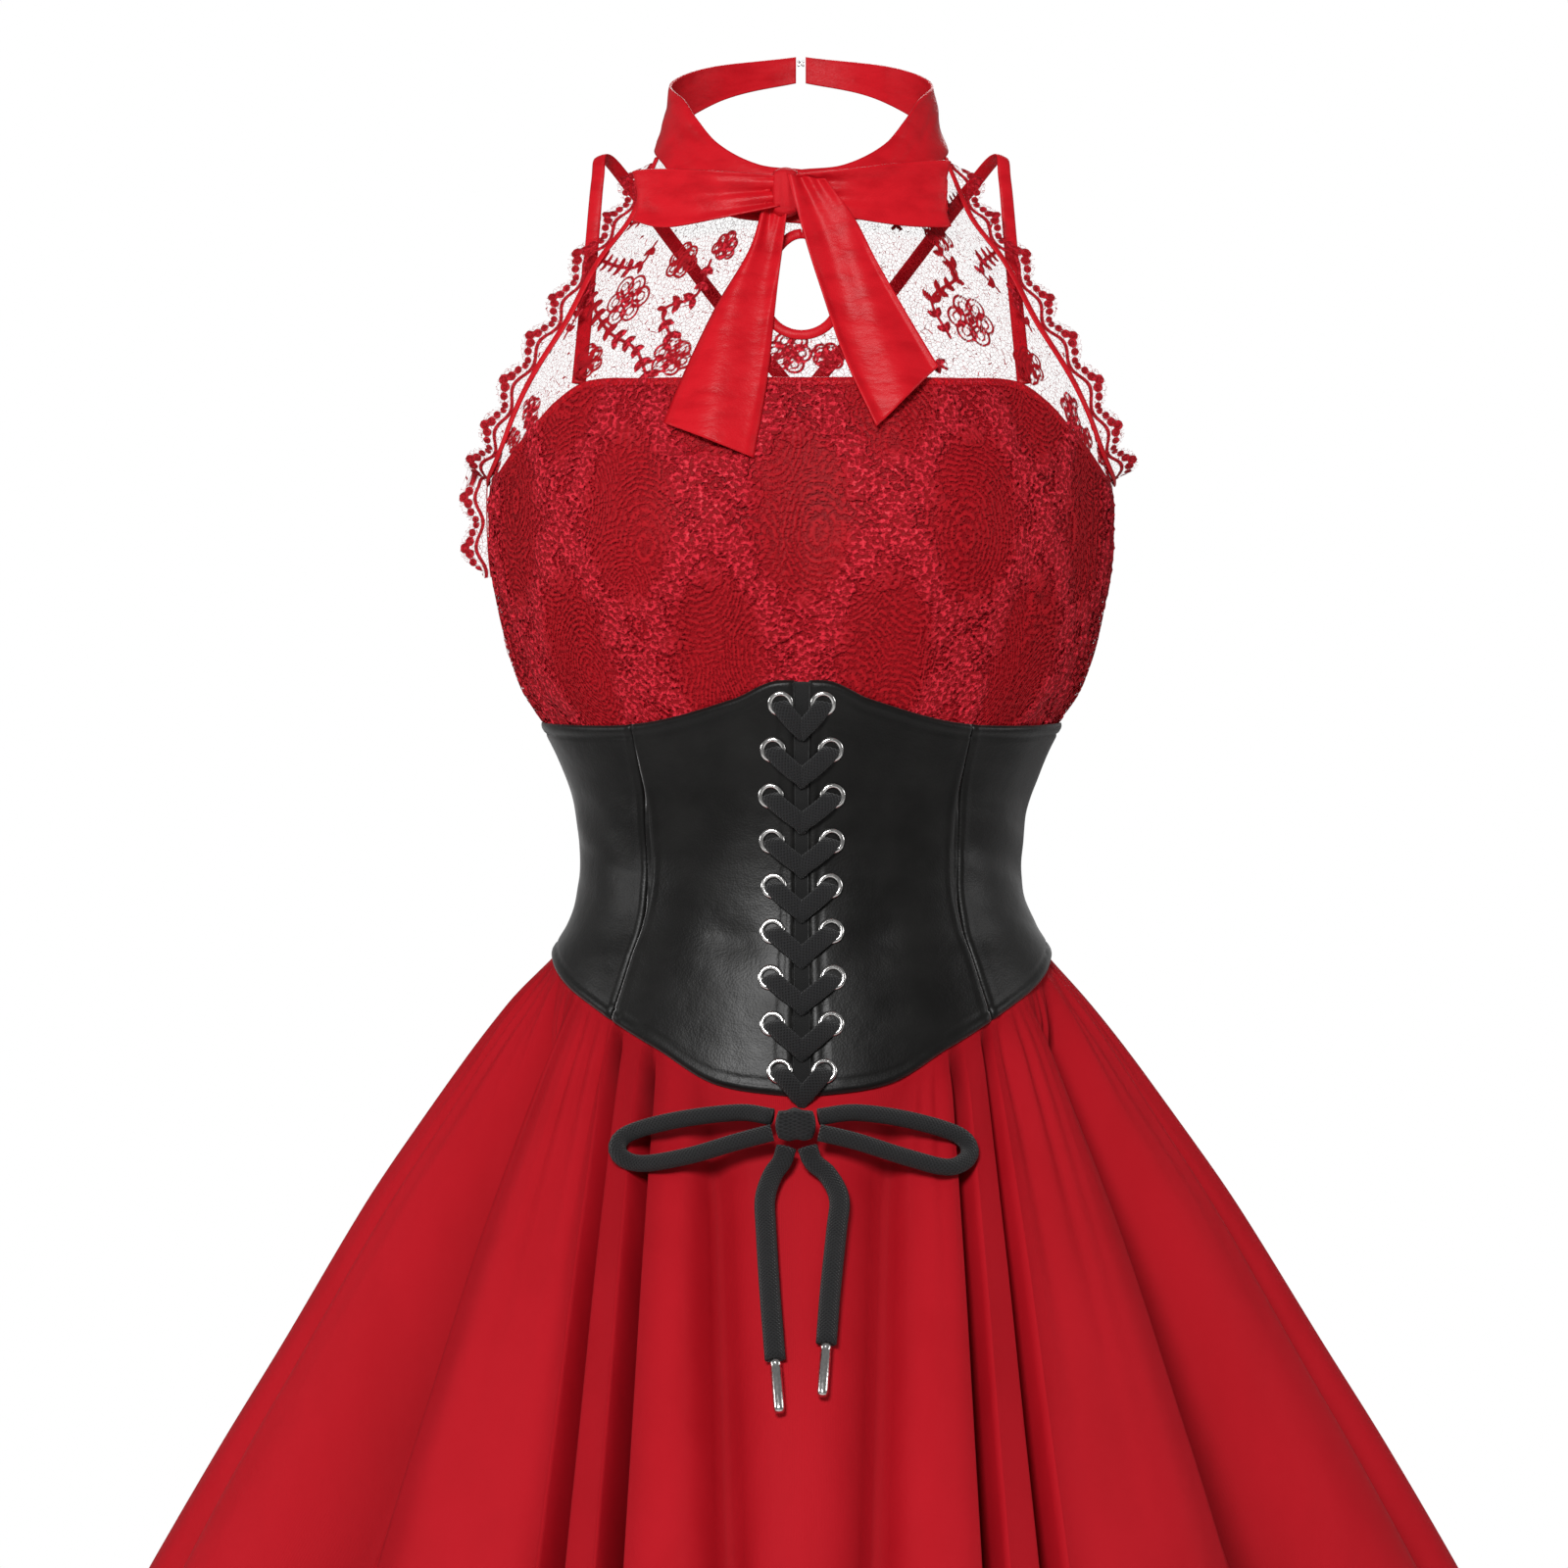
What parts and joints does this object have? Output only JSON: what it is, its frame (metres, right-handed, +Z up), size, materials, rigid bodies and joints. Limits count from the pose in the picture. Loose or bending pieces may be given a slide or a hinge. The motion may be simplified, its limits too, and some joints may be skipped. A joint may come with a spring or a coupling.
{
  "type": "corset dress",
  "caption": "Sleeveless halter dress with a lace yoke, satin neck bow, laced black corset belt and flared skirt, hollow as worn.",
  "frame": {"origin": "centre of the neck, at the height of the collar's side, where the wearer holds the dress up", "axes": "+Z up, from the hem to the neck; the front faces -Y; +X is on the right of someone who looks at the front"},
  "size_m": [0.964, 0.795, 1.0688],
  "materials": {
    "red_satin": "satin",
    "red_lace": "lace",
    "red_lining": "lace over plain cloth",
    "red_skirt_cloth": "smooth woven",
    "black_leather": "soft gloss",
    "black_cloth": "matte",
    "black_braid": "matte braid",
    "silver_metal": "polished"
  },
  "bodies": {
    "root": {"aglet_left": "silver_metal", "aglet_right": "silver_metal", "armhole_binding_left": "red_satin", "armhole_binding_right": "red_satin", "bodice_back": "red_lining", "bodice_front": "red_lining", "bow_knot": "red_satin", "bow_loop_left": "red_satin", "bow_loop_right": "red_satin", "bow_tail_left": "red_satin", "bow_tail_right": "red_satin", "collar_back_left": "red_satin", "collar_back_right": "red_satin", "collar_front": "red_satin", "corset_back": "black_leather", "corset_front_left": "black_leather", "corset_front_right": "black_leather", "corset_side_left": "black_leather", "corset_side_right": "black_leather", "edging_left": "red_lace", "edging_right": "red_lace", "eyelet_left_1": "silver_metal", "eyelet_left_2": "silver_metal", "eyelet_left_3": "silver_metal", "eyelet_left_4": "silver_metal", "eyelet_left_5": "silver_metal", "eyelet_left_6": "silver_metal", "eyelet_left_7": "silver_metal", "eyelet_left_8": "silver_metal", "eyelet_left_9": "silver_metal", "eyelet_right_1": "silver_metal", "eyelet_right_2": "silver_metal", "eyelet_right_3": "silver_metal", "eyelet_right_4": "silver_metal", "eyelet_right_5": "silver_metal", "eyelet_right_6": "silver_metal", "eyelet_right_7": "silver_metal", "eyelet_right_8": "silver_metal", "eyelet_right_9": "silver_metal", "keyhole_binding": "red_satin", "lace_front": "red_lace", "lacing": "black_braid", "lacing_knot": "black_braid", "lacing_loop_left": "black_braid", "lacing_loop_right": "black_braid", "lacing_tail_left": "black_braid", "lacing_tail_right": "black_braid", "nape_eye": "silver_metal", "nape_hook": "silver_metal", "placket": "black_cloth", "skirt_back": "red_skirt_cloth", "skirt_front": "red_skirt_cloth", "strap_left": "red_satin", "strap_right": "red_satin"}
  },
  "joints": []
}
